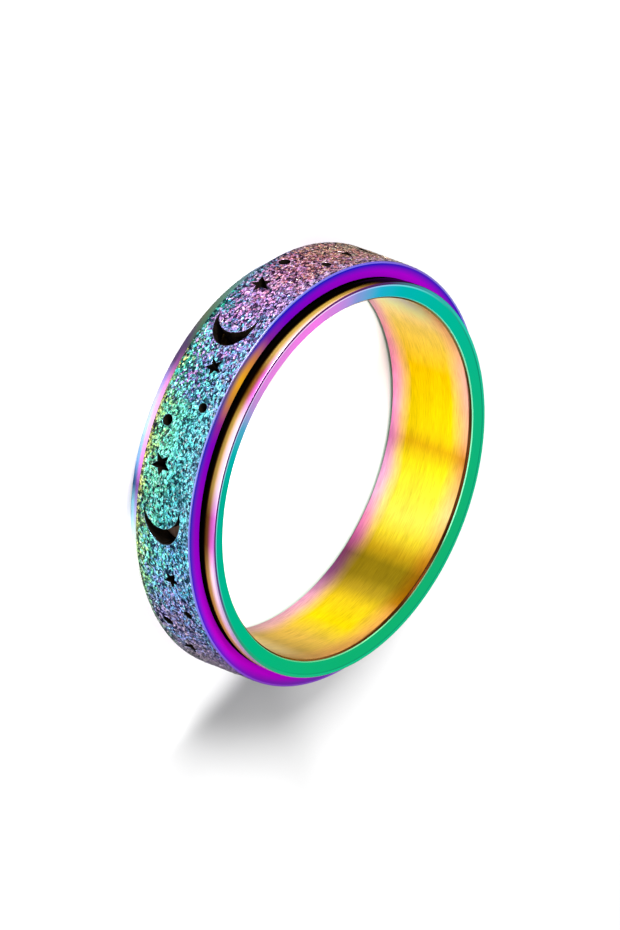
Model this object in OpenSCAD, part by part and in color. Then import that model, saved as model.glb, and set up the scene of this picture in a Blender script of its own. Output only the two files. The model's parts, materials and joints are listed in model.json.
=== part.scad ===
// Spinner ring: a sleeve with flared lips, and a pierced outer band that turns on it.
// Millimetres. The ring lies on one side face, its axis is Z and its middle stands over the origin.

/* [Ring size] */
// Diameter of the bore that the finger goes through
bore_d = 20.4; // [19:0.1:22.4]
// Width of the whole ring along its axis
ring_w = 6.0; // [5.6:0.1:7]

/* [Inner band] */
// Wall of the sleeve under the outer band
sleeve_wall = 0.43; // [0.36:0.01:0.55]
// How far each lip stands out above the sleeve
lip_rise = 0.55; // [0.48:0.01:0.65]
// Width of each lip at its outer flank
lip_w = 0.86; // [0.7:0.01:1]
// How much deeper the dished side face lies at the bore than at its rim
dish_drop = 0.14; // [0.08:0.01:0.2]
// Radial size of the bevel between the bore and the side face
bore_bevel = 0.13; // [0.08:0.01:0.2]
// Size of the bevel at the outer rim of each lip
rim_bevel = 0.12; // [0.06:0.01:0.16]
// Radial size of the bevel at the back edge of each lip
back_bevel = 0.1; // [0.05:0.01:0.12]

/* [Spinner band] */
// Wall of the outer band, from its bore to its outer face
spinner_wall = 1.27; // [1.1:0.01:1.5]
// Radial clearance between the sleeve and the outer band
run_clearance = 0.1; // [0.06:0.01:0.16]
// Gap along the axis between a lip's flank and the outer band
side_gap = 0.25; // [0.2:0.01:0.35]
// Chamfer of the outer band's bore, which runs under the flared lip
seat_chamfer = 0.41; // [0.36:0.01:0.5]
// Small bevel on the outer band's outer edges
edge_bevel = 0.03; // [0.02:0.01:0.06]

/* [Cut pattern] */
// Number of times the pattern repeats round the band
repeats = 6; // [5:1:7]
// Tip radius of the large star
star_l_r = 0.7; // [0.55:0.01:0.8]
// Tip radius of the small star
star_s_r = 0.57; // [0.45:0.01:0.65]
// Inner corners of a star, as a share of its tip radius
star_waist = 0.44; // [0.36:0.01:0.55]
// Diameter of the large dot
dot_l_d = 0.64; // [0.5:0.01:0.8]
// Diameter of the small dot
dot_s_d = 0.54; // [0.4:0.01:0.65]
// Solid band left between the crescent and the band's edges
horn_margin = 0.61; // [0.5:0.01:0.8]
// Depth of the crescent, from the middle of its outline to its back
crescent_depth = 1.73; // [1.5:0.01:1.95]
// Thickness of the crescent at its middle
crescent_t = 0.89; // [0.6:0.01:1]
// How far each horn curls on past the middle of the outline, in degrees
crescent_hook = 17; // [0:1:25]
// Tilt of the crescent, which carries its upper horn forward
crescent_tilt = 8; // [0:1:16]

/* [Hidden] */
$fn = 96;

bore_r = bore_d / 2;
sleeve_r = bore_r + sleeve_wall;
lip_r = sleeve_r + lip_rise;
spinner_bore_r = sleeve_r + run_clearance;
spinner_r = spinner_bore_r + spinner_wall;
spinner_w = ring_w - 2 * (lip_w + side_gap);
mid_z = ring_w / 2;
star_points = 5;
// Angle between two facets of a crescent's outline
arc_step = 9;
// How far a cutter reaches past both faces of the wall
cut_over = 0.3;

// Where the first repeat starts, clockwise from +X seen from above
pattern_turn = 16.5;
// How far each repeat, and then its crescent alone, strays from even spacing, as shares of a repeat,
// and how far the repeat lies above its place, as a share of the band's width
STRAY = [
    [0.008, 0, 0.01],
    [0.003, -0.066, -0.012],
    [-0.053, -0.006, -0.05],
    [-0.038, 0.01, -0.03],
    [-0.022, -0.02, 0],
    [-0.007, 0, 0.01]
];
// Motifs of one repeat: kind, size, place along the repeat as a share of it,
// and height above the middle as a share of the band's width
MOTIFS = [
    ["star", star_l_r, 0, -0.155],
    ["dot", dot_l_d / 2, 0.19, -0.26],
    ["dot", dot_s_d / 2, 0.29, 0.245],
    ["star", star_s_r, 0.475, 0.098],
    ["crescent", spinner_w / 2 - horn_margin, 0.782, -0.032]
];

// Half outline of the inner band, from the middle of the bore out to the middle of the sleeve
function half_band() = [
    [bore_r, 0],
    [bore_r, mid_z - dish_drop - bore_bevel],
    [bore_r + bore_bevel, mid_z - dish_drop],
    [lip_r - rim_bevel, mid_z],
    [lip_r, mid_z - rim_bevel],
    [lip_r, mid_z - lip_w + back_bevel],
    [lip_r - back_bevel, mid_z - lip_w],
    [sleeve_r, mid_z - lip_w - lip_rise + back_bevel],
    [sleeve_r, 0]
];

// Half outline of the outer band, from the middle of its bore out to its outer face
function half_spinner() = [
    [spinner_bore_r, 0],
    [spinner_bore_r, spinner_w / 2 - seat_chamfer],
    [spinner_bore_r + seat_chamfer, spinner_w / 2],
    [spinner_r - edge_bevel, spinner_w / 2],
    [spinner_r, spinner_w / 2 - edge_bevel],
    [spinner_r, 0]
];

// Five-pointed star with its first point along +X
module star(tip_r) {
    polygon([
        for (i = [0 : 2 * star_points - 1])
            let (r = i % 2 == 0 ? tip_r : tip_r * star_waist, a = i * 180 / star_points)
            [r * cos(a), r * sin(a)]
    ]);
}

// Crescent with its back on the +X side: an ellipse round the origin, from horn to horn, less a round bite
module crescent(half_h) {
    reach = 90 + crescent_hook;
    horn_x = crescent_depth * cos(reach);
    horn_y = half_h * sin(reach);
    bite = crescent_depth - crescent_t - horn_x;
    bite_r = (horn_y * horn_y + bite * bite) / (2 * bite);
    bite_x = horn_x + bite - bite_r;
    horn_angle = atan2(horn_y, horn_x - bite_x);
    steps = round(2 * reach / arc_step);
    outer = [
        for (i = [0 : steps])
            let (a = reach * (2 * i / steps - 1))
            [crescent_depth * cos(a), half_h * sin(a)]
    ];
    inner = [
        for (i = [1 : steps - 1])
            let (a = horn_angle * (1 - 2 * i / steps))
            [bite_x + bite_r * cos(a), bite_r * sin(a)]
    ];
    rotate([0, 0, crescent_tilt]) polygon(concat(outer, inner));
}

module motif(kind, size) {
    if (kind == "star") star(size);
    if (kind == "dot") circle(r = size);
    if (kind == "crescent") crescent(size);
}

// Everything that is cut out of the outer band, each motif pushed straight through towards the axis
module pattern() {
    pitch = 360 / repeats;
    for (i = [0 : repeats - 1], m = MOTIFS) {
        stray = STRAY[i % len(STRAY)];
        crescent_stray = m[0] == "crescent" ? stray[1] : 0;
        turn = pattern_turn + pitch * (i + m[2] + stray[0] + crescent_stray);
        height = mid_z + (m[3] + stray[2]) * spinner_w;
        rotate([0, 0, -turn])
            translate([spinner_bore_r - cut_over, 0, height])
                rotate([90, 0, 90])
                    linear_extrude(spinner_wall + 2 * cut_over) motif(m[0], m[1]);
    }
}

// Ring turned from half of its outline, which is mirrored about the middle
module turned(half) {
    last = len(half) - 1;
    mirrored = [for (i = [last - 1 : -1 : 1]) [half[i][0], -half[i][1]]];
    translate([0, 0, mid_z])
        rotate_extrude() polygon(concat(half, mirrored));
}

module inner_band() {
    color("mediumseagreen") turned(half_band());
}

module spinner_band() {
    color("mediumorchid") difference() {
        turned(half_spinner());
        pattern();
    }
}

inner_band();
spinner_band();
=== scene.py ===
import json
import math

import bmesh
import bpy
import numpy as np
from mathutils import Matrix, Vector
from mathutils.geometry import delaunay_2d_cdt

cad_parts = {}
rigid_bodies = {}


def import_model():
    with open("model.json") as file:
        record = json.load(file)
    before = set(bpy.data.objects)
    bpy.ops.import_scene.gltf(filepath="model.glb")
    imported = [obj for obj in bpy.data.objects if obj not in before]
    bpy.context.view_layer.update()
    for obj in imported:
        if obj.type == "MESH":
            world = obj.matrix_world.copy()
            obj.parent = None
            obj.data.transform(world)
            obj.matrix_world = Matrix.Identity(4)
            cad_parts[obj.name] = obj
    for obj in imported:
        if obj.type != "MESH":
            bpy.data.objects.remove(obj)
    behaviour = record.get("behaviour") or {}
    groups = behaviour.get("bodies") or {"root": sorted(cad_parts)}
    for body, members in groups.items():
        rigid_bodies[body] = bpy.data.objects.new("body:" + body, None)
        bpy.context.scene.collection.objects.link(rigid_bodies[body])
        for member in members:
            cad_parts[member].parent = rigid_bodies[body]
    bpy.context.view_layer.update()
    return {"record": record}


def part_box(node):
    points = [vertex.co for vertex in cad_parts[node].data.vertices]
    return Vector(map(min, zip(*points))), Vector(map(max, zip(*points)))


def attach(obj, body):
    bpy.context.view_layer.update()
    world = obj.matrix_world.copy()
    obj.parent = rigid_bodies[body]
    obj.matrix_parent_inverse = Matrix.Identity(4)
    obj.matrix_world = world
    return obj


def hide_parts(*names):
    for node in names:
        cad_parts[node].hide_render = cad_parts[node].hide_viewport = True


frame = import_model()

MM = 0.001
FULL_TURN = 360.0

# Sizes read from the CAD frame
_, lip_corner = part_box("inner_band")
spinner_low, spinner_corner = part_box("spinner_band")
BORE_R = frame["record"]["mounts"][0]["dims"]["r_mm"]
LIP_R = lip_corner.x / MM
RING_W = lip_corner.z / MM
MID_Z = RING_W / 2
SPINNER_R = spinner_corner.x / MM
SPINNER_HALF_W = (spinner_corner.z - spinner_low.z) / MM / 2

# Inner band: how far a lip stands out above the sleeve, and its width at its outer flank
LIP_RISE = 0.55
LIP_W = 0.86
SLEEVE_R = LIP_R - LIP_RISE
# How much deeper the dished side face lies at the bore than at its rim
DISH_DROP = 0.14
# Bevel between the bore and the side face, on the near side and on the far side
BORE_BEVEL = 0.13
FAR_BORE_BEVEL = 0.06
# Rounding between that bevel and the side face: its size, its radius and how far its middle lies outward
MINT_EDGE = 0.045
MINT_ROUND = 1.1 * MINT_EDGE
MINT_SHIFT = 0.2 * MINT_EDGE
# Widths of the painted highlight line on the side face, and of the painted dark strip of shade between
# that line and the rim
RIM_LINE = 0.08
RIM_SHADE = 0.1
# Rounding of the rim and of the back edge, and how far the back edge lies inside the rim
RIM_ROUND = 0.07
BACK_ROUND = 0.1
BACK_INSET = 0.03
# The flank is crowned: highest at a depth below the side face, and lower by the crown at its reach
CROWN = 0.02
CROWN_DEPTH = 0.35
CROWN_REACH = 0.4

# Spinner band
RUN_CLEARANCE = 0.1
SPINNER_BORE_R = SLEEVE_R + RUN_CLEARANCE
SEAT_CHAMFER = 0.41
EDGE_ROUND = 0.03
# Widths of the coloured lines at each outer edge, on the outside and on the side; the near one is a
# painted highlight
EDGE_LINE = 0.006
SIDE_LINE = 0.075
FROST_HALF_W = SPINNER_HALF_W - EDGE_ROUND - EDGE_LINE
# Rounding at the rim of every cut
CUT_ROUND = 0.03
# Width from which a cut's rim is rounded in full, and the share of it that a narrow tip keeps
WIDE_ENOUGH = 0.4
LEAST_SHARE = 0.1
# Two places of an outline are on opposite sides when the product of their normals is below this
OPPOSITE = -0.2
# Typical height of the sandblasted grain
RELIEF = 0.011

# Cut pattern: sizes and places as in the CAD source
REPEATS = 6
PITCH = FULL_TURN / REPEATS
PATTERN_TURN = 16.5
STAR_POINTS = 5
STAR_WAIST = 0.44
STAR_L_R = 0.7
STAR_S_R = 0.57
DOT_L_R = 0.32
DOT_S_R = 0.27
HORN_MARGIN = 0.61
CRESCENT_DEPTH = 1.73
CRESCENT_T = 0.89
CRESCENT_HOOK = 17
CRESCENT_TILT = 8
# How far each repeat, and its crescent alone, strays along the band, and how far the repeat lies higher
STRAY = [
    (0.008, 0, 0.01),
    (0.003, -0.066, -0.012),
    (-0.053, -0.006, -0.05),
    (-0.038, 0.01, -0.03),
    (-0.022, -0.02, 0),
    (-0.007, 0, 0.01),
]
# Kind, size, place along the repeat, height above the middle as a share of the band's width
MOTIFS = [
    ("star", STAR_L_R, 0, -0.155),
    ("dot", DOT_L_R, 0.19, -0.26),
    ("dot", DOT_S_R, 0.29, 0.245),
    ("star", STAR_S_R, 0.475, 0.098),
    ("crescent", SPINNER_HALF_W - HORN_MARGIN, 0.782, -0.032),
]
# Where one sector of the pierced wall ends and the next starts, as a share of a repeat
SECTOR_START = -0.09

# Mesh fineness: segments round the inner band, grid spacings of the outer band's outside and bore
RING_SEGMENTS = 720
GRAIN = 0.085
BORE_GRID = 0.4
# How far a grid point keeps from a cut and how far it is shaken, and where the relief fades at a cut or
# an edge, as shares of the spacing
GRID_CLEAR = 0.6
GRID_SHAKE = 0.3
RELIEF_FADE = 2
SEED = 7
# Points closer together than this count as one point in the triangulation
MERGE_DISTANCE = 1e-6
# Longest step along a cut's outline, and the points of a dot and of a crescent's back and front
OUTLINE_STEP = 0.055
DOT_POINTS = 36
BACK_POINTS = 73
FRONT_POINTS = 47
# Steps of the rounded places
MINT_STEPS = 4
RIM_STEPS = 12
CROWN_STEPS = 7
BACK_STEPS = 5
EDGE_STEPS = 3
CUT_STEPS = 3
# Points of the rim and of the back edge where one look of the lip ends and the next starts
RIM_SPLIT = 5
BACK_SPLIT = 1


# Mesh building

class Solid:
    """Points in millimetres and faces with a look, gathered into one mesh."""

    def __init__(self):
        self.points = []
        self.faces = []
        self.looks = []

    def add(self, points):
        first = len(self.points)
        self.points.extend(tuple(p) for p in points)
        return np.arange(first, len(self.points))

    def face(self, ids, look):
        self.faces.append(tuple(int(i) for i in ids))
        self.looks.append(look)

    def bridge(self, ring_a, ring_b, look):
        """Quads between two closed rings of points."""
        a = np.roll(ring_a, -1)
        b = np.roll(ring_b, -1)
        for quad in zip(ring_a, a, b, ring_b):
            self.face(quad, look)

    def lathe(self, turns, profile, look, start=None, end=None):
        """Turns a profile of (radius, z) round the axis. A ring given as its start or its end is used
        instead of a new one. Returns the first and the last ring."""
        first = self.add(on_ring(turns, *profile[0])) if start is None else start
        ring = first
        for radius, z in profile[1:-1]:
            new = self.add(on_ring(turns, radius, z))
            self.bridge(ring, new, look)
            ring = new
        last = self.add(on_ring(turns, *profile[-1])) if end is None else end
        self.bridge(ring, last, look)
        return first, last


def on_ring(turns, radius, z):
    """Points round the axis. The radius and z are one value each or one for every turn."""
    a = np.radians(turns)
    heights = np.broadcast_to(z, a.shape)
    return np.stack([radius * np.cos(a), -radius * np.sin(a), heights], axis=1)


def arc(centre, radius, start, end, steps):
    """Points (r, z) of an arc, angles in degrees from the outward radius towards +Z."""
    angles = np.radians(np.linspace(start, end, steps + 1))
    return [(centre[0] + radius * math.cos(a), centre[1] + radius * math.sin(a)) for a in angles]


def new_object(name, data):
    made = bpy.data.objects.new(name, data)
    bpy.context.scene.collection.objects.link(made)
    return made


def make_piece(solid, name, materials, flat_looks, body, node):
    """Turns a solid into a mesh object that stands for a CAD node."""
    mesh = bpy.data.meshes.new(name)
    mesh.from_pydata([Vector(p) * MM for p in solid.points], [], solid.faces)
    names = list(materials)
    for look in names:
        mesh.materials.append(materials[look])
    index = [names.index(look) for look in solid.looks]
    mesh.polygons.foreach_set("material_index", index)
    mesh.polygons.foreach_set("use_smooth", [look not in flat_looks for look in solid.looks])
    mesh.update()
    sharpen_between_looks(mesh)
    piece = new_object(name, mesh)
    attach(piece, body)
    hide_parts(node)
    return piece


def sharpen_between_looks(mesh):
    """Makes normals outward and splits shading where one look meets another."""
    work = bmesh.new()
    work.from_mesh(mesh)
    bmesh.ops.recalc_face_normals(work, faces=work.faces)
    for edge in work.edges:
        linked = edge.link_faces
        if len(linked) == 2 and linked[0].material_index != linked[1].material_index:
            edge.smooth = False
    work.to_mesh(mesh)
    work.free()


# Cut pattern

def star_outline(tip_r):
    corners = []
    for i in range(2 * STAR_POINTS):
        r = tip_r if i % 2 == 0 else tip_r * STAR_WAIST
        a = math.radians(i * 180 / STAR_POINTS)
        corners.append((r * math.cos(a), r * math.sin(a)))
    return resample(corners)


def dot_outline(radius):
    angles = np.radians(np.arange(DOT_POINTS) * FULL_TURN / DOT_POINTS)
    return resample([(radius * math.cos(a), radius * math.sin(a)) for a in angles])


def crescent_outline(half_h):
    """An ellipse from horn to horn, with its back at +x, less a round bite."""
    reach = math.radians(90 + CRESCENT_HOOK)
    horn_x = CRESCENT_DEPTH * math.cos(reach)
    horn_y = half_h * math.sin(reach)
    bite = CRESCENT_DEPTH - CRESCENT_T - horn_x
    bite_r = (horn_y * horn_y + bite * bite) / (2 * bite)
    bite_x = horn_x + bite - bite_r
    horn = math.atan2(horn_y, horn_x - bite_x)
    back = np.linspace(-reach, reach, BACK_POINTS)
    front = np.linspace(horn, -horn, FRONT_POINTS)[1:-1]
    points = [(CRESCENT_DEPTH * math.cos(a), half_h * math.sin(a)) for a in back]
    points += [(bite_x + bite_r * math.cos(a), bite_r * math.sin(a)) for a in front]
    tilt = math.radians(CRESCENT_TILT)
    turned = [(x * math.cos(tilt) - y * math.sin(tilt), x * math.sin(tilt) + y * math.cos(tilt))
              for x, y in points]
    return resample(turned)


def resample(corners):
    """Adds points so that no step along the closed outline is longer than OUTLINE_STEP."""
    points = []
    for i, a in enumerate(corners):
        a = np.array(a)
        b = np.array(corners[(i + 1) % len(corners)])
        steps = max(1, math.ceil(np.linalg.norm(b - a) / OUTLINE_STEP))
        points.extend(a + (b - a) * k / steps for k in range(steps))
    return np.array(points)


def outward(outline):
    """Unit normals at the points of a counter-clockwise outline."""
    before = outline - np.roll(outline, 1, axis=0)
    after = np.roll(outline, -1, axis=0) - outline
    before /= np.linalg.norm(before, axis=1)[:, None]
    after /= np.linalg.norm(after, axis=1)[:, None]
    along = before + after
    normal = np.stack([along[:, 1], -along[:, 0]], axis=1)
    return normal / np.linalg.norm(normal, axis=1)[:, None]


def grow(outline, distance):
    """Moves an outline outward, less where the shape inside it is narrow."""
    normal = outward(outline)
    across = outline[None] - outline[:, None]
    opposed = (normal @ normal.T < OPPOSITE) & (np.einsum("ijk,ik->ij", across, normal) < 0)
    width = np.where(opposed, np.linalg.norm(across, axis=2), np.inf).min(axis=1)
    share = np.clip(width / WIDE_ENOUGH, LEAST_SHARE, 1)
    return outline + normal * (distance * share)[:, None]


OUTLINES = {"star": star_outline, "dot": dot_outline, "crescent": crescent_outline}


def placed_motifs():
    """Every motif of the band: its repeat, turn, height above the middle and outline."""
    found = []
    for i, (repeat_stray, crescent_stray, rise) in enumerate(STRAY):
        for kind, size, place, height in MOTIFS:
            stray = repeat_stray + (crescent_stray if kind == "crescent" else 0)
            turn = PATTERN_TURN + PITCH * (i + place + stray)
            lift = (height + rise) * SPINNER_HALF_W * 2
            found.append((i, turn, lift, OUTLINES[kind](size)))
    return found


def wrap(outline, turn, height, radius):
    """An outline pushed straight through onto a cylinder: its turns and heights there."""
    turns = turn - np.degrees(np.arcsin(outline[:, 0] / radius))
    return turns, height + outline[:, 1]


def inside(points, outline):
    """Which points lie inside a closed outline."""
    result = np.zeros(len(points), bool)
    x, y = points[:, 0], points[:, 1]
    for a, b in zip(outline, np.roll(outline, -1, axis=0)):
        crosses = (a[1] > y) != (b[1] > y)
        rise = b[1] - a[1]
        if rise != 0:
            result ^= crosses & (x < (b[0] - a[0]) * (y - a[1]) / rise + a[0])
    return result


def nearest(points, others):
    """Distance from each point to the nearest of the others."""
    gap = np.full(len(points), np.inf)
    for p in others:
        gap = np.minimum(gap, np.hypot(points[:, 0] - p[0], points[:, 1] - p[1]))
    return gap


# Pierced walls

class Wall:
    """A face of the outer band, as rows of points at given heights above the band's middle."""

    def __init__(self, look, radius_at, rows, spacing, relief=0):
        self.look = look
        self.radius_at = radius_at
        self.rows = rows
        self.half_w = rows[-1]
        self.spacing = spacing
        self.relief = relief
        self.degree = math.radians(1) * radius_at(0)

    def points(self, turns, heights):
        """Points on the wall at given turns and heights."""
        return on_ring(turns, self.radius_at(heights), MID_Z + heights)

    def column(self, turn):
        return self.points(np.full(len(self.rows), turn), self.rows)

    def grid(self, turns, rng):
        """Staggered grid of a flat sector, shaken a little so that its facets catch light unevenly."""
        start, end = turns[0] * self.degree, turns[-1] * self.degree
        count = max(2, round((end - start) / self.spacing))
        along = np.linspace(start, end, count + 1)[1:-1]
        grid = np.stack(np.meshgrid(along, self.rows[1:-1]), axis=-1).reshape(-1, 2)
        return grid + rng.uniform(-GRID_SHAKE, GRID_SHAKE, grid.shape) * self.spacing


class FlatSector:
    """A sector of a wall laid flat: points (along, up), their ids in the solid, and its holes."""

    def __init__(self):
        self.points = []
        self.ids = []
        self.edges = []
        self.holes = []

    def add(self, along, up, ids):
        flat = np.stack(np.broadcast_arrays(along, up), axis=1)
        self.points.extend(map(tuple, flat))
        self.ids.extend(ids)
        return flat

    def add_hole(self, along, up, ids):
        base = len(self.points)
        count = len(ids)
        self.edges.extend((base + k, base + (k + 1) % count) for k in range(count))
        self.holes.append(self.add(along, up, ids))

    def outside_holes(self, points):
        """Which points lie in no hole."""
        clear = np.ones(len(points), bool)
        for hole in self.holes:
            clear &= ~inside(points, hole)
        return clear

    def to_hole(self, points):
        """Distance from each point to the nearest outline of a hole."""
        return nearest(points, np.concatenate(self.holes))

    def triangles(self):
        """Triangles between the points, as ids in the solid, but none in a hole."""
        flat = [Vector(p) for p in self.points]
        _, _, faces, origins, _, _ = delaunay_2d_cdt(flat, self.edges, [], 0, MERGE_DISTANCE)
        source = [origin[0] for origin in origins]
        found = np.array([[source[v] for v in corners] for corners in faces])
        middles = np.array(self.points)[found].mean(axis=1)
        return [[self.ids[v] for v in corners] for corners in found[self.outside_holes(middles)]]


def pierced_wall(solid, wall, columns, holes, rng):
    """Builds a wall sector by sector. For each sector, holes lists the turns, heights and point ids of
    every hole. Returns the ids of the wall's lower and upper border ring."""
    half_w = wall.half_w
    first = solid.add(wall.column(columns[0][0]))
    left = first
    lower, upper = [], []
    for turns, sector_holes in zip(columns, holes):
        between = turns[1:-1]
        right = first if turns is columns[-1] else solid.add(wall.column(turns[-1]))
        low_edge = solid.add(wall.points(between, -half_w))
        high_edge = solid.add(wall.points(between, half_w))
        lower.extend([left[0], *low_edge])
        upper.extend([left[-1], *high_edge])
        sector = FlatSector()
        sector.add(turns[0] * wall.degree, wall.rows, left)
        sector.add(turns[-1] * wall.degree, wall.rows, right)
        sector.add(between * wall.degree, -half_w, low_edge)
        sector.add(between * wall.degree, half_w, high_edge)
        for hole_turns, heights, ids in sector_holes:
            sector.add_hole(hole_turns * wall.degree, heights, ids)
        fill_sector(solid, wall, sector, wall.grid(turns, rng), rng)
        left = right
    return np.array(lower), np.array(upper)


def fill_sector(solid, wall, sector, grid, rng):
    """Adds the grid points that are clear of the holes, raised by the relief, and all triangles."""
    gap = sector.to_hole(grid)
    clear = sector.outside_holes(grid) & (gap > GRID_CLEAR * wall.spacing)
    along, up = grid[clear].T
    radius = wall.radius_at(up)
    if wall.relief:
        room = np.minimum(wall.half_w - np.abs(up), gap[clear])
        fade = np.clip(room / (RELIEF_FADE * wall.spacing), 0, 1)
        radius = radius + rng.normal(0, wall.relief, len(up)) * fade
    sector.add(along, up, solid.add(on_ring(along / wall.degree, radius, MID_Z + up)))
    for triangle in sector.triangles():
        solid.face(triangle, wall.look)


def outer_radius(height):
    """Radius of the outer band's outside at a height above its middle."""
    return SPINNER_R + np.zeros_like(height, dtype=float)


def inner_radius(height):
    """Radius of the outer band's bore, which widens in a chamfer at both ends."""
    return SPINNER_BORE_R + np.clip(np.abs(height) - SPINNER_HALF_W + SEAT_CHAMFER, 0, None)


# Pieces

def half_band(bore_bevel):
    """Looks and outlines of half the inner band, from bore to sleeve, as radii and heights."""
    face_r = BORE_R + bore_bevel
    face_z = MID_Z - DISH_DROP
    bore_z = face_z - bore_bevel
    land_r = LIP_R - RIM_ROUND
    flank_z = MID_Z - LIP_W
    slope = DISH_DROP / (land_r - face_r)
    line, shade = [(land_r - gap, MID_Z - slope * gap) for gap in (RIM_SHADE + RIM_LINE, RIM_SHADE)]
    mint = arc((face_r + MINT_SHIFT, face_z - MINT_EDGE), MINT_ROUND, 165, 95, MINT_STEPS)
    rim = arc((land_r, MID_Z - RIM_ROUND), RIM_ROUND, 90, 0, RIM_STEPS)
    heights = np.linspace(MID_Z - RIM_ROUND, flank_z + BACK_ROUND, CROWN_STEPS + 1)[1:-1]
    crown = [(LIP_R - CROWN * ((z - MID_Z + CROWN_DEPTH) / CROWN_REACH) ** 2, z) for z in heights]
    back = arc((LIP_R - BACK_INSET - BACK_ROUND, flank_z + BACK_ROUND), BACK_ROUND, 0, -45, BACK_STEPS)
    foot = (SLEEVE_R, flank_z - LIP_RISE)
    return [
        ("bore", [(BORE_R, 0), (BORE_R, bore_z)]),
        ("bevel", [(BORE_R, bore_z), (face_r - MINT_EDGE, face_z - MINT_EDGE)]),
        ("mint", mint),
        ("face", [(face_r, face_z), line]),
        ("rim_light", [line, shade]),
        ("rim_dark", [shade] + rim[:RIM_SPLIT + 1]),
        ("flank", rim[RIM_SPLIT:] + crown + back[:BACK_SPLIT + 1]),
        ("gap", back[BACK_SPLIT:] + [foot]),
        ("sleeve", [foot, (SLEEVE_R, 0)]),
    ]


def inner_band_solid():
    """Sleeve and lips as one turned body, from the bore out over both lips to the sleeve's outside."""
    solid = Solid()
    turns = np.arange(RING_SEGMENTS) * FULL_TURN / RING_SEGMENTS
    upper = [(look, [(r, MID_Z + z) for r, z in part]) for look, part in half_band(BORE_BEVEL)]
    lower = [(look, [(r, MID_Z - z) for r, z in reversed(part)])
             for look, part in reversed(half_band(FAR_BORE_BEVEL))]
    strips = upper + [("far_flank" if look == "flank" else look, part) for look, part in lower]
    look, part = strips[0]
    first, ring = solid.lathe(turns, part, look)
    for look, part in strips[1:-1]:
        _, ring = solid.lathe(turns, part, look, ring)
    look, part = strips[-1]
    solid.lathe(turns, part, look, ring, first)
    return solid


def sector_columns():
    """Turns of the wall's columns, sector by sector, with one repeat of the pattern in each."""
    starts = [PATTERN_TURN + PITCH * (i + SECTOR_START + stray[0]) for i, stray in enumerate(STRAY)]
    starts.append(starts[0] + FULL_TURN)
    columns = []
    for a, b in zip(starts, starts[1:]):
        count = round(math.radians(b - a) * SPINNER_R / GRAIN)
        columns.append(np.linspace(a, b, count + 1))
    return columns


def cut_motifs(solid):
    """Rounded rims and walls of all cuts. Returns, by sector, the holes that they leave in the outside
    and in the bore."""
    outer_holes = [[] for _ in range(REPEATS)]
    bore_holes = [[] for _ in range(REPEATS)]
    for i, turn, height, outline in placed_motifs():
        rings = []
        for step in range(CUT_STEPS + 1):
            a = math.radians(90 * step / CUT_STEPS)
            grown = grow(outline, CUT_ROUND * (1 - math.sin(a)))
            rings.append((grown, SPINNER_R - CUT_ROUND * (1 - math.cos(a))))
        rings.append((outline, inner_radius(height + outline[:, 1])))
        made = []
        for shape, radius in rings:
            turns, heights = wrap(shape, turn, height, radius)
            ids = solid.add(on_ring(turns, radius, MID_Z + heights))
            made.append((turns, heights, ids))
        for k, (above, below) in enumerate(zip(made, made[1:])):
            solid.bridge(above[2], below[2], "cut_edge" if k < CUT_STEPS else "cut_wall")
        outer_holes[i].append(made[0])
        bore_holes[i].append(made[-1])
    return outer_holes, bore_holes


def band_side(solid, turns, side, look, outer_ring, bore_ring):
    """A polished side of the outer band and its rounded edge: the near side is 1 and the far side -1."""
    round_middle = (SPINNER_R - EDGE_ROUND, SPINNER_HALF_W - EDGE_ROUND)
    edge = [(SPINNER_R, FROST_HALF_W)] + arc(round_middle, EDGE_ROUND, 0, 90, EDGE_STEPS)
    edge.append((SPINNER_R - EDGE_ROUND - SIDE_LINE, SPINNER_HALF_W))
    edge = [(r, MID_Z + side * z) for r, z in edge]
    seat = (SPINNER_BORE_R + SEAT_CHAMFER, MID_Z + side * SPINNER_HALF_W)
    _, ring = solid.lathe(turns, edge, look, outer_ring)
    solid.lathe(turns, [edge[-1], seat], "side", ring, bore_ring)


def even_rows(half_w, spacing):
    return np.linspace(-half_w, half_w, round(2 * half_w / spacing) + 1)


def spinner_solid():
    """The pierced outer band: frosted outside, cut walls, bore and two polished sides."""
    rng = np.random.default_rng(SEED)
    solid = Solid()
    columns = sector_columns()
    outer_holes, bore_holes = cut_motifs(solid)
    frost = Wall("frost", outer_radius, even_rows(FROST_HALF_W, GRAIN), GRAIN, RELIEF)
    seat_rows = even_rows(SPINNER_HALF_W - SEAT_CHAMFER, BORE_GRID)
    bore = Wall("gap", inner_radius, np.array([-SPINNER_HALF_W, *seat_rows, SPINNER_HALF_W]), BORE_GRID)
    low, high = pierced_wall(solid, frost, columns, outer_holes, rng)
    bore_low, bore_high = pierced_wall(solid, bore, columns, bore_holes, rng)
    turns = np.concatenate([c[:-1] for c in columns])
    band_side(solid, turns, 1, "side_edge", high, bore_high)
    band_side(solid, turns, -1, "far_edge", low, bore_low)
    return solid


# Materials

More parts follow.
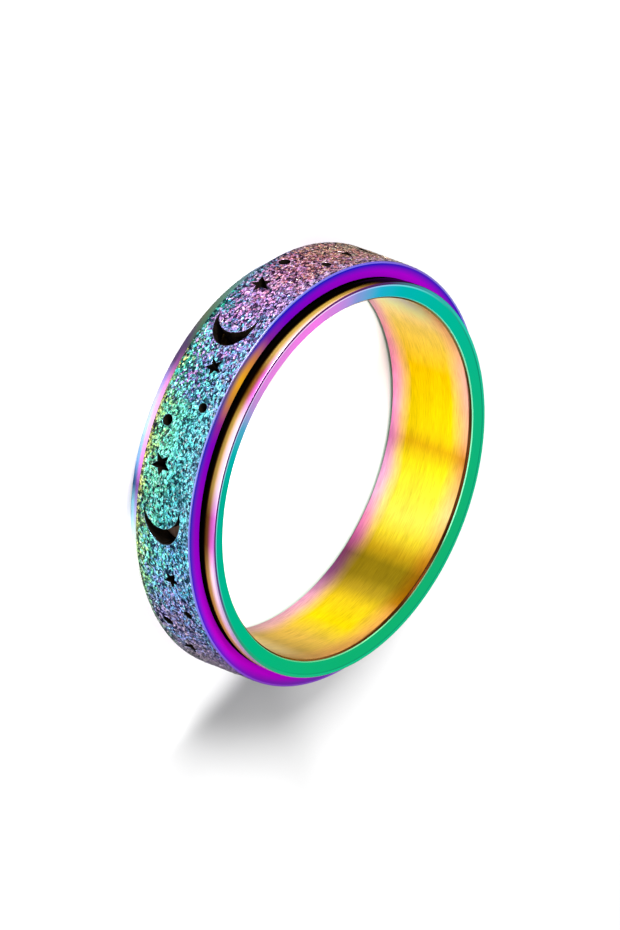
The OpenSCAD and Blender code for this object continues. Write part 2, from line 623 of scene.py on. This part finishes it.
# Tints of the frosted band along its middle, near edge, far edge and far rim, as turns and colours
MIDDLE_TINT = [
    (0, "a094a0"), (15, "928090"), (30, "8684b0"), (45, "769cc0"), (58, "66acb8"), (72, "7cccca"),
    (92, "7ac0ca"), (104, "72a4c0"), (114, "8a88bc"), (124, "b490c2"), (136, "ce9cc8"), (150, "e4a0a6"),
    (165, "d8a48e"), (182, "ccb6a2"), (230, "78b0a8"), (290, "a880b8"), (330, "88a0b0"),
]
NEAR_TINT = [
    (0, "8c6ca4"), (15, "78608e"), (30, "6484ac"), (45, "84a4be"), (75, "88b4c8"), (92, "88b6cc"),
    (105, "7e98b8"), (120, "9c8cbc"), (135, "bca4d0"), (150, "c09cc8"), (165, "bc98b0"), (180, "b494b8"),
    (260, "70b0c0"), (310, "9c78c0"),
]
FAR_TINT = [
    (0, "8a8684"), (30, "687c8c"), (42, "70a078"), (58, "94b880"), (76, "a8cc88"), (92, "98c48c"),
    (104, "509078"), (116, "489080"), (128, "58909c"), (140, "7c80a4"), (152, "a87c98"), (170, "b09888"),
    (240, "90b060"), (300, "8c78b0"),
]
RIM_TINT = [
    (0, "8a8684"), (40, "68905c"), (56, "909868"), (76, "b4a868"), (94, "a49c64"), (106, "548c6c"),
    (124, "488880"), (145, "7c80a0"), (170, "a08c80"), (240, "b0b050"), (300, "8c78b0"),
]
# How strongly the tints are coloured, the two dark colours that lie thinly over the grains, and how
# white a grain with a painted glint is
FROST_SATURATION = 1.24
OVERTONES = [(0.4, "1c5068"), (0.6, "402870")]
OVERTONE_SHARE = 0.14
SPARK_WHITE = 0.55

# Texture scales per metre: cells of the grains and of the grit between them, noise of the pits, and
# noise of the clouds and banks that shift the frosted band's colours round and across it
GRAIN_SCALE = 7500
GRIT_SCALE = 14000
PIT_SCALE = 5500
CLOUD_SCALE = 700
BANK_SCALE = 800
# The length of a grain round the band is its width divided by this
GRAIN_SQUEEZE = 0.75
# How far the grains and the clouds shift the colours round the band, as shares of a turn, and how far
# the grains and the banks shift them across it, as shares of its width, and at its very edge
GRAIN_TURN_SHIFT = 0.08
CLOUD_SHIFT = 0.14
GRAIN_SHIFT = 0.35
BANK_SHIFT = 0.5
EDGE_SHIFT = 0.1
# Brush lines, as scales per turn and per metre along the axis: fine and broad ones of the bore, and
# those of the sleeve
FINE_LINES = (80, 16000)
BROAD_LINES = (14, 1600)
SLEEVE_LINES = (40, 2400)
# Texture scales of the smaller marks: smudges, mottles of the painted shade in the gap and on the cut
# walls, wear and wander
SMUDGE_SCALE = 900
GAP_SHADE_MOTTLE_SCALE = 1500
CUT_WALL_SHADE_MOTTLE_SCALE = 2500
WEAR_SCALE = 5000
WANDER_SCALE = 300
# Grey that metal keeps where it is seen at a shallow angle
SHALLOW_TINT = (0.4, 0.4, 0.4, 1)

WHITE = "ffffff"


def colour(code):
    """Linear RGBA from a six-digit sRGB code."""
    channels = [int(code[i:i + 2], 16) / 255 for i in (0, 2, 4)]
    return [c / 12.92 if c <= 0.04045 else ((c + 0.055) / 1.055) ** 2.4 for c in channels] + [1]


def closed(stops):
    """Stops in degrees as shares of a turn. The last leads back to the first."""
    return [(place / FULL_TURN, value) for place, value in stops + [(FULL_TURN, stops[0][1])]]


class Look:
    """A material with a metal shader, and short ways to add nodes to it."""

    def __init__(self, name, roughness, metallic=1.0):
        self.material = bpy.data.materials.new(name)
        self.material.use_nodes = True
        self.tree = self.material.node_tree
        self.shader = self.tree.nodes["Principled BSDF"]
        self.feed(self.shader, {
            "Metallic": metallic, "Roughness": roughness, "Specular IOR Level": 0,
            "Specular Tint": SHALLOW_TINT})
        self.place = self.node("ShaderNodeTexCoord", {}).outputs["Object"]
        self.x, self.y, self.z = self.node("ShaderNodeSeparateXYZ", {0: self.place}).outputs

    def feed(self, node, inputs):
        """Sets inputs of a node, by name or number, to values or to outputs of other nodes."""
        for key, value in inputs.items():
            if isinstance(value, bpy.types.NodeSocket):
                self.tree.links.new(value, node.inputs[key])
            else:
                node.inputs[key].default_value = value

    def node(self, kind, inputs, **settings):
        made = self.tree.nodes.new(kind)
        for key, value in settings.items():
            setattr(made, key, value)
        self.feed(made, inputs)
        return made

    def math(self, operation, a, b=0.0, c=0.0):
        return self.node("ShaderNodeMath", {0: a, 1: b, 2: c}, operation=operation).outputs[0]

    def turn(self):
        """Turn round the ring as 0 to 1."""
        angle = self.math("ARCTAN2", self.y, self.x)
        return self.math("FRACT", self.math("MULTIPLY", angle, -1 / (2 * math.pi)))

    def radius(self):
        """Distance from the ring's axis in metres."""
        x_square = self.math("MULTIPLY", self.x, self.x)
        y_square = self.math("MULTIPLY", self.y, self.y)
        return self.math("SQRT", self.math("ADD", x_square, y_square))

    def share(self, value, low, high):
        """A value in metres as 0 to 1 between two sizes in millimetres."""
        ends = {"Value": value, "From Min": low * MM, "From Max": high * MM}
        return self.node("ShaderNodeMapRange", ends).outputs["Result"]

    def gradient(self, factor, stops):
        """RGBA values along a factor. Stops are (place from 0 to 1, value)."""
        made = self.node("ShaderNodeValToRGB", {0: factor})
        elements = made.color_ramp.elements
        while len(elements) < len(stops):
            elements.new(0.5)
        for element, (place, _) in zip(elements, stops):
            element.position = place
        for element, (_, value) in zip(elements, stops):
            element.color = value
        return made.outputs["Color"]

    def ramp(self, factor, stops):
        """Colours along a factor. Stops are (place, code)."""
        return self.gradient(factor, [(place, colour(code)) for place, code in stops])

    def levels(self, factor, stops):
        """Grey levels along a factor. Stops are (place, level)."""
        return self.gradient(factor, [(place, (level, level, level, 1)) for place, level in stops])

    def ring_colours(self, stops, turn=None):
        """Colours round the ring, or along another turn of 0 to 1. Stops are (degrees, code)."""
        return self.ramp(self.turn() if turn is None else turn, closed(stops))

    def ring_levels(self, stops, turn=None):
        """Grey levels round the ring in the same way. Stops are (degrees, level)."""
        return self.levels(self.turn() if turn is None else turn, closed(stops))

    def mix(self, factor, a, b, blend="MIX"):
        """Mix of two colours. The node's colour sockets are inputs 6 and 7 and output 2."""
        inputs = {0: factor, 6: a, 7: b}
        return self.node("ShaderNodeMix", inputs, data_type="RGBA", blend_type=blend).outputs[2]

    def times(self, a, b):
        """Product of two colours."""
        return self.mix(1.0, a, b, "MULTIPLY")

    def noise(self, vector, scale, detail=2.0):
        inputs = {"Vector": vector, "Scale": scale, "Detail": detail}
        return self.node("ShaderNodeTexNoise", inputs).outputs["Fac"]

    def drift(self, value, noise, reach):
        """A value moved by a 0 to 1 noise, over a reach with the value in its middle."""
        return self.math("ADD", value, self.math("MULTIPLY", self.math("SUBTRACT", noise, 0.5), reach))

    def saturate(self, source, amount):
        inputs = {"Saturation": amount, "Color": source}
        return self.node("ShaderNodeHueSaturation", inputs).outputs["Color"]

    def cells(self, vector, scale):
        """Distance from the middle of a cell, and a random colour for each cell."""
        made = self.node("ShaderNodeTexVoronoi", {"Vector": vector, "Scale": scale})
        return made.outputs["Distance"], made.outputs["Color"]

    def split(self, source):
        return self.node("ShaderNodeSeparateColor", {0: source}).outputs

    def vector(self, x, y, z):
        return self.node("ShaderNodeCombineXYZ", {0: x, 1: y, 2: z}).outputs[0]

    def bump(self, height, strength, distance):
        """Bumps with a height in millimetres."""
        inputs = {"Strength": strength, "Distance": distance * MM, "Height": height}
        self.feed(self.shader, {"Normal": self.node("ShaderNodeBump", inputs).outputs["Normal"]})

    def base(self, value):
        self.feed(self.shader, {"Base Color": value})
        return self.material


def face_look():
    """Dished side face, green to pink and faintly smudged."""
    look = Look("lip_face", roughness=0.1)
    mid = look.ring_colours([
        (0, "10b074"), (40, "06b58c"), (75, "11b09a"), (86, "22b4b6"), (93, "58aad0"), (101, "ca90dc"),
        (110, "ee86e6"), (132, "fa7cea"), (142, "d484e0"), (152, "8496d8"), (161, "26acd0"),
        (172, "06b0b0"), (195, "02b094"), (235, "0cac76"), (270, "11a96b"), (330, "0eaa6a")])
    smudge = look.noise(look.place, SMUDGE_SCALE, 3)
    return look.base(look.mix(look.levels(smudge, [(0.3, 0), (0.7, 0.12)]), mid, colour("0aa080")))


def mint_look():
    """Painted highlight: light line between the bevel and the side face, darker at the turns where the
    key lamp's own highlight falls.
    """
    look = Look("lip_inner_edge", roughness=0.5)
    return look.base(look.ring_colours([
        (0, "70d8a0"), (25, "40c898"), (60, "30b098"), (88, "40b8b8"), (105, "d8a0e0"), (140, "f0a8ec"),
        (160, "50c0d8"), (185, "70e0c8"), (215, "98f0c8"), (268, "80d8a8"), (280, "346448"),
        (303, "346448"), (318, "80d8a0")]))


def bevel_look():
    """Bevel at both ends of the bore, painted as shade: dark brown at most turns."""
    look = Look("bore_bevel", roughness=0.2)
    return look.base(look.ring_colours([
        (0, "a07030"), (60, "6a4a20"), (200, "a08850"), (225, "54401c"), (250, "3c1c08"),
        (300, "2c1404"), (325, "6a4014"), (345, "a06a30")]))


def rim_light_look():
    """Painted highlight: light line on the side face, beside the rim."""
    look = Look("lip_rim_light", roughness=0.1)
    return look.base(look.ring_colours([
        (0, "10a870"), (30, "20b088"), (50, "60d0c8"), (75, "94e0ec"), (90, "a8d4f4"), (105, "ecc8f8"),
        (140, "f8d0ff"), (155, "a0bcf0"), (175, "60d0d0"), (195, "20a890"), (220, "0c8c68"),
        (330, "109868")]))


def rim_dark_look():
    """Rim with a painted dark line as shade: purple at the left and else green."""
    look = Look("lip_rim_dark", roughness=0.2, metallic=0.6)
    return look.base(look.ring_colours([
        (0, "189868"), (25, "2c7c64"), (42, "4c3c6c"), (60, "48285c"), (90, "442c58"), (105, "4a144e"),
        (140, "54205c"), (165, "402450"), (185, "308c90"), (205, "20a890"), (240, "0c9c70"),
        (330, "10a070")]))


def flank_look():
    """Near lip's flank, from painted black shade at its back edge to cream or pink at its rim; the cream
    bands are painted highlights, and its brightness by turn is painted light.
    """
    look = Look("lip_flank", roughness=0.22, metallic=0.5)
    # Painted shade: the black back end reaches further up the flank at the later turns.
    lift = look.ring_levels([
        (43.2, 0), (90, 0.09), (104.4, 0.16), (118.8, 0.24), (135, 0.37), (151.2, 0.53), (216, 0.53),
        (324, 0)])
    depth = look.math("SUBTRACT", look.share(look.z, RING_W - LIP_W, RING_W), lift)
    # Painted highlight: the lit copy, cream and white towards the rim.
    lit = look.ramp(depth, [
        (0, "050200"), (0.09, "120a00"), (0.16, "584010"), (0.23, "c8a040"), (0.34, "c4a44c"),
        (0.42, "d0a64a"), (0.5, "e8bc8c"), (0.59, "f4d0bc"), (0.72, "f4dcec"), (0.86, "fce8fc"),
        (1, "fff0ff")])
    pink = look.ramp(depth, [
        (0, "050200"), (0.1, "120800"), (0.18, "442a08"), (0.28, "704c14"), (0.37, "84501c"),
        (0.46, "904c3c"), (0.55, "b05878"), (0.64, "cc62ac"), (0.74, "dc68d0"), (0.86, "ec80e8"),
        (1, "e080e4")])
    # Painted shade: the dark copy where the flank lies in shade.
    dark = look.ramp(depth, [(0, "020101"), (0.3, "0a0202"), (0.6, "200810"), (1, "48183c")])
    where = look.ring_levels([
        (0, 0.0513), (20, 0), (48, 0), (58, 1), (66, 1), (75, 0), (94, 0), (102, 1), (110, 1), (118, 0),
        (140, 0), (160, 1), (200, 1), (240, 0), (280, 1), (310, 0), (340, 0.0513)])
    shaded = look.ring_levels([
        (0, 0.3515), (18, 0.117), (30, 0), (150, 0), (162, 1), (200, 1), (230, 0.0513), (300, 0),
        (340, 0.117)])
    # Painted light: brightness of the flank by turn.
    even = look.ring_levels([
        (0, 1), (28.8, 1.5), (46.8, 1.25), (61.2, 0.76), (75.6, 0.67), (90, 0.64), (104.4, 0.76),
        (118.8, 0.67), (129.6, 0.74)])
    at_foot = look.ring_levels([(0, 0.6), (14.4, 1), (46.8, 1), (68.4, 0), (324, 0)])
    pink_end = look.ramp(depth, [(0.45, WHITE), (0.6, "f0e8e4"), (0.8, "dcc8cc"), (0.9, "a49cb0")])
    lower_end = look.mix(at_foot, colour(WHITE), pink_end)
    tint = look.times(look.times(look.mix(where, lit, pink), even), lower_end)
    return look.base(look.mix(shaded, tint, dark))


def far_flank_look():
    """Far lip's flank, bright but for a dark line along its back edge."""
    look = Look("far_lip_flank", roughness=0.22, metallic=0.7)
    outer = look.ring_colours([
        (0, "a494b8"), (20, "90a4ac"), (34, "f4fcf0"), (48, "fcfcf8"), (56, "c8f0f8"), (62, "98e0f0"),
        (68, "284c80"), (75, "88bcec"), (84, "b8d8ec"), (92, "c0c4ea"), (98, "9c8acc"), (104, "503c64"),
        (112, "483c58"), (120, "54604c"), (132, "507064"), (142, "5c7080"), (150, "c0c0e0"),
        (156, "b8a0b8"), (164, "8c6c78"), (180, "b08ab0"), (230, "60c0c0"), (290, "d090e0")])
    inner = look.ring_colours([
        (0, "a08cb0"), (34, "d0f4b0"), (48, "d8f8c0"), (60, "c0bcf0"), (67, "7c4c9c"), (75, "fc98fc"),
        (84, "fcc4f4"), (91, "f8b4ec"), (97, "dc90d0"), (103, "8c5090"), (109, "4c3c58"),
        (116, "44604c"), (126, "4c7460"), (134, "5c8888"), (142, "8c9cbc"), (149, "f0d0f8"),
        (156, "c49cc0"), (164, "b08088"), (180, "b88478"), (230, "c0a060"), (290, "e080c0")])
    line = look.ring_colours([
        (0, "705870"), (60, "60606c"), (75, "a87868"), (90, "8c6850"), (104, "704848"), (120, "405048"),
        (150, "80688c"), (200, "785848"), (290, "805028")])
    depth = look.share(look.z, 0, LIP_W)
    tint = look.mix(look.levels(depth, [(0.22, 0), (0.38, 1)]), outer, inner)
    return look.base(look.mix(look.levels(depth, [(0.6, 0), (0.65, 1)]), tint, line))


def gap_look():
    """Faces in the gap between the bands, painted near black as shade, faintly mottled."""
    look = Look("gap_shadow", roughness=0.45, metallic=0.0)
    shade_mottle = look.noise(look.place, GAP_SHADE_MOTTLE_SCALE, 3)
    return look.base(look.ramp(shade_mottle, [(0.3, "030202"), (0.7, "0c0705")]))


def sleeve_look():
    """The sleeve under the outer band, painted lit bronze at some turns and shaded dark at others, as
    painted light and shade, and near black towards its near end.
    """
    look = Look("sleeve_outside", roughness=0.4, metallic=0.5)
    streaks = brush_lines(look, *SLEEVE_LINES)
    painted_lit_bronze = look.ramp(streaks, [(0.3, "907060"), (0.6, "c8a088"), (0.8, "e8d0bc")])
    dark = look.ramp(streaks, [(0.3, "181008"), (0.8, "443414")])
    # Painted light and shade: where the sleeve is shaded dark rather than lit.
    where = look.ring_levels([
        (0, 0.2159), (30, 0.0144), (50, 0), (75, 0), (100, 1), (180, 1), (260, 0.2159)])
    upper_end = look.levels(look.share(look.z, 0, RING_W), [(0.68, 0), (0.72, 1)])
    return look.base(look.mix(upper_end, look.mix(where, painted_lit_bronze, dark), colour("040302")))


def bore_look():
    """Brushed bore: gold, pink at its far end, orange at its near end. Its darker bands round the ring
    are painted reflections, its brightness by turn and its brighter far end at some turns are painted
    light, and a strip at its near end holds a painted shadow.
    """
    look = Look("bore_brushed", roughness=0.3)
    # The darker bands at some turns are painted reflections of the brushed metal.
    middle = look.ring_colours([
        (0, "c8b468"), (30, "e0b840"), (75, "f0cc20"), (110, "d8b030"), (150, "e8c040"), (185, "f8eac4"),
        (208, "e4c45c"), (226, "fbcb03"), (241, "fcdc05"), (247, "f8d80c"), (252, "e0b010"),
        (258, "fce818"), (268, "fcf040"), (275, "fcf258"), (281, "f0d830"), (286, "c4a018"),
        (291, "8c7610"), (297, "907a14"), (302, "b89c24"), (308, "f0d020"), (318, "fae010"),
        (330, "e0bc58"), (340, "b89c50"), (350, "d8c488")])
    near = look.ring_colours([
        (0, "c09850"), (60, "e09060"), (120, "e890a0"), (180, "e0b080"), (208, "d4a070"),
        (226, "f8b4b4"), (245, "f0a88c"), (252, "c47828"), (258, "e0a064"), (270, "fcd890"),
        (279, "e4a848"), (285, "c47c1c"), (291, "94600c"), (297, "985f04"), (302, "b47408"),
        (308, "f4b058"), (330, "e0a464"), (350, "d8b070")])
    far = look.ring_colours([
        (0, "b09060"), (60, "d880a0"), (120, "e088c0"), (180, "e0b0a0"), (200, "d8a8b0"),
        (212, "f0a0b4"), (226, "fc9cc4"), (244, "fc9cd8"), (253, "e080c0"), (262, "f4b0e4"),
        (270, "f8bce8"), (279, "f08cc4"), (285, "c0609c"), (291, "7c3c64"), (300, "8c4c84"),
        (311, "e8a8cc"), (330, "dcacb8"), (346, "a89488")])
    straight = look.share(look.z, 0, RING_W)
    height = look.drift(straight, look.noise(look.place, WANDER_SCALE), 0.12)
    to_far = look.levels(height, [(0.06, 1), (0.12, 0.75), (0.18, 0.3), (0.26, 0)])
    to_near = look.levels(height, [(0.74, 0), (0.9, 0.8), (0.96, 1)])
    blend = look.mix(to_near, look.mix(to_far, middle, far), near)
    fine = brush_lines(look, *FINE_LINES)
    broad = brush_lines(look, *BROAD_LINES)
    brushed = look.times(blend, look.levels(fine, [(0.3, 0.8), (0.5, 1), (0.7, 1.14)]))
    brushed = look.times(brushed, look.levels(broad, [(0.32, 0.9), (0.5, 1), (0.65, 1.05)]))
    look.bump(fine, strength=0.25, distance=0.008)
    # Painted light: brightness of the bore by turn.
    even = look.ring_levels([
        (0, 1.15), (10.8, 1), (190.8, 1.7), (208.8, 1.02), (225, 0.74), (237.6, 0.66), (302.4, 0.66),
        (327.6, 0.72), (345.6, 1.15)])
    lower_end = look.ring_levels([(216, 0), (237.6, 1), (309.6, 1), (331.2, 0)])
    shadow = look.math("MULTIPLY", look.levels(straight, [(0.94, 0), (0.945, 1)]), lower_end)
    # Painted light: the far end is brighter at these turns.
    upper_end = look.ring_levels([(198, 0), (212.4, 1), (241.2, 1), (252, 0)])
    bright = look.math("MULTIPLY", to_far, upper_end)
    wear_and_painted_light = look.mix(bright, look.times(brushed, even), brushed)
    return look.base(look.mix(shadow, wear_and_painted_light, colour("3c1c08")))


def brush_lines(look, along, across):
    """A noise that is drawn out round the ring."""
    turn = look.math("MULTIPLY", look.turn(), along)
    height = look.math("MULTIPLY", look.z, across)
    return look.noise(look.vector(turn, height, 0), 1, 3)


def side_look():
    """Polished sides of the outer band: magenta inside, blue outside."""
    look = Look("spinner_side", roughness=0.3, metallic=0.2)
    inner = look.ring_colours([
        (0, "ba02d0"), (15, "c402d8"), (30, "a602bc"), (45, "8402ae"), (60, "7a02a4"), (86, "6a02a0"),
        (92, "7c1c72"), (98, "a46830"), (105, "c88e16"), (112, "a86838"), (119, "6c1c7c"),
        (127, "6202a4"), (150, "7c02a8"), (180, "8c02a6"), (240, "7804a4"), (300, "7604a8"),
        (330, "9402c0")])
    outer = look.ring_colours([
        (0, "7014a8"), (15, "6014a6"), (30, "3e18a2"), (45, "321a9e"), (60, "242094"), (86, "1a2096"),
        (94, "2c2a84"), (101, "443c64"), (107, "4c4454"), (114, "161e84"), (122, "08149c"),
        (150, "101298"), (165, "181092"), (180, "341092"), (240, "281596"), (330, "6830a4")])
    across = look.share(look.radius(), SPINNER_BORE_R + SEAT_CHAMFER, SPINNER_R - EDGE_ROUND)
    return look.base(look.mix(look.levels(across, [(0.38, 0), (0.84, 1)]), inner, outer))


def side_edge_look():
    """Painted highlight: thin light line along the outer band's near edge."""
    look = Look("spinner_side_edge", roughness=0.35)
    return look.base(look.ring_colours([
        (0, "8040b8"), (15, "8054c8"), (30, "8478e8"), (45, "9094f4"), (58, "949cf8"), (75, "94a0f8"),
        (92, "9098f4"), (103, "7c7ca0"), (116, "8890e4"), (135, "8c94f8"), (150, "8078ec"),
        (165, "7c6ce0"), (180, "8068c0"), (260, "80a0e0"), (330, "8048b8")]))


def far_edge_look():
    """Thin coloured line along the outer band's far edge."""
    look = Look("spinner_far_edge", roughness=0.3, metallic=0.6)
    return look.base(look.ring_colours([
        (0, "707078"), (40, "6a9060"), (60, "607858"), (84, "6c6c3c"), (100, "8a7848"), (112, "3c5a40"),
        (130, "586c60"), (150, "785870"), (170, "907070"), (260, "80a080")]))


def frost_look():
    """Sandblasted grain: every grain takes its colour from a slightly different place of the tint."""
    look = Look("spinner_frost", roughness=0.3)
    length = look.math("MULTIPLY", look.turn(), 2 * math.pi * SPINNER_R * MM * GRAIN_SQUEEZE)
    strip = look.vector(length, look.z, 0)
    grit, grain = look.cells(strip, GRAIN_SCALE)
    fine_grit, fine_grain = look.cells(strip, GRIT_SCALE)
    hue, rise, level = look.split(grain)
    fine_level, glint, _ = look.split(fine_grain)
    cloud = look.noise(look.place, CLOUD_SCALE)
    bank = look.noise(look.vector(look.z, look.x, look.y), BANK_SCALE)
    turn = look.drift(look.drift(look.turn(), hue, GRAIN_TURN_SHIFT), cloud, CLOUD_SHIFT)
    straight = look.share(look.z, MID_Z - SPINNER_HALF_W, MID_Z + SPINNER_HALF_W)
    height = look.drift(look.drift(straight, rise, GRAIN_SHIFT), bank, BANK_SHIFT)
    edge = look.drift(straight, bank, EDGE_SHIFT)
    middle = look.ring_colours(MIDDLE_TINT, turn)
    near = look.ring_colours(NEAR_TINT, turn)
    far = look.ring_colours(FAR_TINT, turn)
    rim = look.ring_colours(RIM_TINT, turn)
    minty_turn = look.ring_levels([(43.2, 0), (64.8, 1), (93.6, 1), (111.6, 0)], turn)
    minty = look.math("MULTIPLY", minty_turn, look.levels(height, [(0.3, 0.8), (0.65, 0)]))
    middle = look.mix(minty, middle, colour("8cdcb0"))
    tint = look.mix(look.levels(height, [(0.02, 1), (0.22, 0)]), middle, far)
    tint = look.mix(look.levels(height, [(0.72, 0), (1.0, 1)]), tint, near)
    tint = look.mix(look.levels(edge, [(0.03, 0.85), (0.09, 0)]), tint, rim)
    tint = look.saturate(tint, FROST_SATURATION)
    shade = look.levels(level, [(0, 0.05), (0.2, 0.27), (0.5, 1.03), (0.8, 1.95), (1, 2.8)])
    fine_shade = look.levels(fine_level, [(0, 0.25), (0.3, 0.72), (0.7, 1.25), (1, 1.8)])
    # Painted shade: dark worm-like pits between the grains.
    worms = look.math("ABSOLUTE", look.math("SUBTRACT", look.noise(strip, PIT_SCALE, 1), 0.5))
    pits = look.levels(worms, [(0.015, 0.06), (0.05, 1)])
    grainy = look.times(look.times(look.times(tint, shade), fine_shade), pits)
    # Painted highlight: white glints on some grains.
    spark = look.mix(SPARK_WHITE, tint, colour(WHITE))
    grainy = look.mix(look.levels(glint, [(0.91, 0), (0.98, 0.7)]), grainy, spark)
    grainy = look.mix(OVERTONE_SHARE, grainy, look.ramp(hue, OVERTONES))
    look.bump(look.math("ADD", grit, fine_grit), strength=0.8, distance=0.03)
    return look.base(grainy)


def cut_edge_look():
    """Rounded rims of the cuts, with wear in places."""
    look = Look("cut_edge", roughness=0.25)
    tint = look.ring_colours([
        (0, "a090b0"), (40, "80a4c4"), (75, "80ccd4"), (95, "80d0d8"), (115, "b0a8e8"), (140, "e0a8d8"),
        (175, "c8a890"), (260, "80d0c0")])
    wear_and_painted_light = look.levels(look.noise(look.place, WEAR_SCALE), [(0.35, 0.15), (0.6, 0.9)])
    return look.base(look.times(tint, wear_and_painted_light))


def cut_wall_look():
    """Walls of the cuts, painted dark as shade."""
    look = Look("cut_wall", roughness=0.45, metallic=0.5)
    shade_mottle = look.noise(look.place, CUT_WALL_SHADE_MOTTLE_SCALE, 3)
    return look.base(look.ramp(shade_mottle, [(0.3, "14100c"), (0.7, "2c241c")]))


def make_pieces():
    """The two pieces, with a look for every part of their solids."""
    lip_looks = {
        "bore": bore_look(), "bevel": bevel_look(), "mint": mint_look(), "face": face_look(),
        "rim_light": rim_light_look(), "rim_dark": rim_dark_look(), "flank": flank_look(),
        "far_flank": far_flank_look(), "gap": gap_look(), "sleeve": sleeve_look(),
    }
    sleeve = make_piece(
        inner_band_solid(), "sleeve_and_lips", lip_looks, (), "inner_band", "inner_band")
    band_looks = {
        "frost": frost_look(), "cut_edge": cut_edge_look(), "cut_wall": cut_wall_look(),
        "side_edge": side_edge_look(), "far_edge": far_edge_look(), "side": side_look(),
        "gap": gap_look(),
    }
    band = make_piece(spinner_solid(), "pierced_band", band_looks, ("frost", "cut_wall"),
                      "spinner_band", "spinner_band")
    return sleeve, band


# Camera, floor and light

# The photograph's frame and what was measured in it
PHOTO_W, PHOTO_H = 620, 930
FACE_CENTRE_PX = (350.5, 480.2)
PIXELS_PER_MM = 18.486
CAMERA_ELEVATION = 36.45
CAMERA_ROLL = 110.52
# A long lens and its sensor, in millimetres, and the depths that the camera sees, in metres
LENS = 800
SENSOR = 36
NEAREST, FARTHEST = 0.01, 10

# Floor in metres from its middle to its sides, and its faintly uneven grey
FLOOR_HALF = 1.5
FLOOR_SCALE = 40
FLOOR_GREY = [(0, "d2d2d2"), (1, "d4d4d4")]

# Strength of the evenly lit surroundings
SURROUNDINGS = 0.68
# Softboxes: name, azimuth, elevation, distance and size in metres, power. The key lights everything,
# the others only the ring.
KEY = ("key", 228, 36, 0.6, 0.26, 7.0)
RING_SOFTBOXES = [
    ("back", 90, 38, 0.7, 0.9, 1.2),
    ("fill", 300, 45, 0.6, 0.4, 1.5),
]
# Beams: name, place on the floor and radius there in millimetres, azimuth, elevation, blend, power.
# Two fill the hole, the others light only the floor round the ring and leave its shadow.
HOLE_BEAMS = [
    ("hole", (0, 0), 0.995 * BORE_R, 0, 90, 0.02, 8),
    ("hole_top", (-6.3, 2.6), 3.3, 0, 90, 0.6, 8),
]
FLOOR_BEAMS = [
    ("foot", (10.7, -3.5), 8.5, 315, 40, 0.5, 18),
    ("right", (10.5, 19), 8, 75, 40, 0.8, 4),
    ("end", (22, 10.5), 6.5, 25, 40, 0.9, 3.5),
    ("left", (-2, -10.5), 11, 262, 38, 0.5, 8),
]
# Distance and lamp radius of every beam in metres
BEAM_DISTANCE = 0.5
BEAM_SIZE = 0.0005


def make_camera():
    data = bpy.data.cameras.new("camera")
    data.lens = LENS
    data.sensor_width = SENSOR
    camera = new_object("camera", data)
    e = math.radians(CAMERA_ELEVATION)
    level = Matrix(((1, 0, 0), (0, math.sin(e), -math.cos(e)), (0, math.cos(e), math.sin(e))))
    turned = level @ Matrix.Rotation(math.radians(CAMERA_ROLL), 3, "Z")
    right, up, back = turned.col
    aim = Vector((0, 0, RING_W))
    aim -= right * (FACE_CENTRE_PX[0] - PHOTO_W / 2) / PIXELS_PER_MM
    aim += up * (FACE_CENTRE_PX[1] - PHOTO_H / 2) / PIXELS_PER_MM
    distance = PHOTO_H / PIXELS_PER_MM * LENS / SENSOR
    camera.matrix_world = Matrix.Translation((aim + back * distance) * MM) @ turned.to_4x4()
    data.clip_start = NEAREST
    data.clip_end = FARTHEST
    bpy.context.scene.camera = camera


def make_floor():
    mesh = bpy.data.meshes.new("floor")
    sides = ((-1, -1), (1, -1), (1, 1), (-1, 1))
    mesh.from_pydata([(x * FLOOR_HALF, y * FLOOR_HALF, 0) for x, y in sides], [], [(0, 1, 2, 3)])
    look = Look("floor", roughness=0.9, metallic=0.0)
    mesh.materials.append(look.base(look.ramp(look.noise(look.place, FLOOR_SCALE), FLOOR_GREY)))
    floor = new_object("floor", mesh)
    return floor


def hang(data, aim, distance, azimuth, elevation):
    """Hangs a lamp a distance in metres from what it lights. Azimuth is counter-clockwise from +X."""
    lamp = new_object(data.name, data)
    a, e = math.radians(azimuth), math.radians(elevation)
    way = Vector((math.cos(a) * math.cos(e), math.sin(a) * math.cos(e), math.sin(e)))
    facing = way.to_track_quat("Z", "Y").to_matrix().to_4x4()
    lamp.matrix_world = Matrix.Translation(aim + way * distance) @ facing
    return lamp


def make_softbox(name, azimuth, elevation, distance, size, power):
    """A square area light that faces the ring."""
    data = bpy.data.lights.new(name, "AREA")
    data.size = size
    data.energy = power
    lamp = hang(data, Vector(), distance, azimuth, elevation)
    lamp.visible_camera = False
    return lamp


def make_beam(name, place, radius, azimuth, elevation, blend, power):
    """A narrow beam onto a disc round a place on the floor."""
    data = bpy.data.lights.new(name, "SPOT")
    data.energy = power
    data.spot_size = 2 * math.atan(radius * MM / BEAM_DISTANCE)
    data.spot_blend = blend
    data.shadow_soft_size = BEAM_SIZE
    return hang(data, Vector((*place, 0)) * MM, BEAM_DISTANCE, azimuth, elevation)


def light_only(lamp, pieces):
    """Lets a lamp light only the given pieces."""
    lit = bpy.data.collections.new("lit_by_" + lamp.name)
    for piece in pieces:
        lit.objects.link(piece)
    lamp.light_linking.receiver_collection = lit


def make_light(floor, pieces):
    world = bpy.data.worlds.new("studio")
    world.use_nodes = True
    background = world.node_tree.nodes["Background"]
    background.inputs["Color"].default_value = (1, 1, 1, 1)
    background.inputs["Strength"].default_value = SURROUNDINGS
    bpy.context.scene.world = world
    make_softbox(*KEY)
    for beam in HOLE_BEAMS:
        make_beam(*beam)
    for softbox in RING_SOFTBOXES:
        light_only(make_softbox(*softbox), pieces)
    for beam in FLOOR_BEAMS:
        light_only(make_beam(*beam), [floor])
    bpy.context.scene.view_settings.view_transform = "Standard"


make_camera()
make_light(make_floor(), make_pieces())
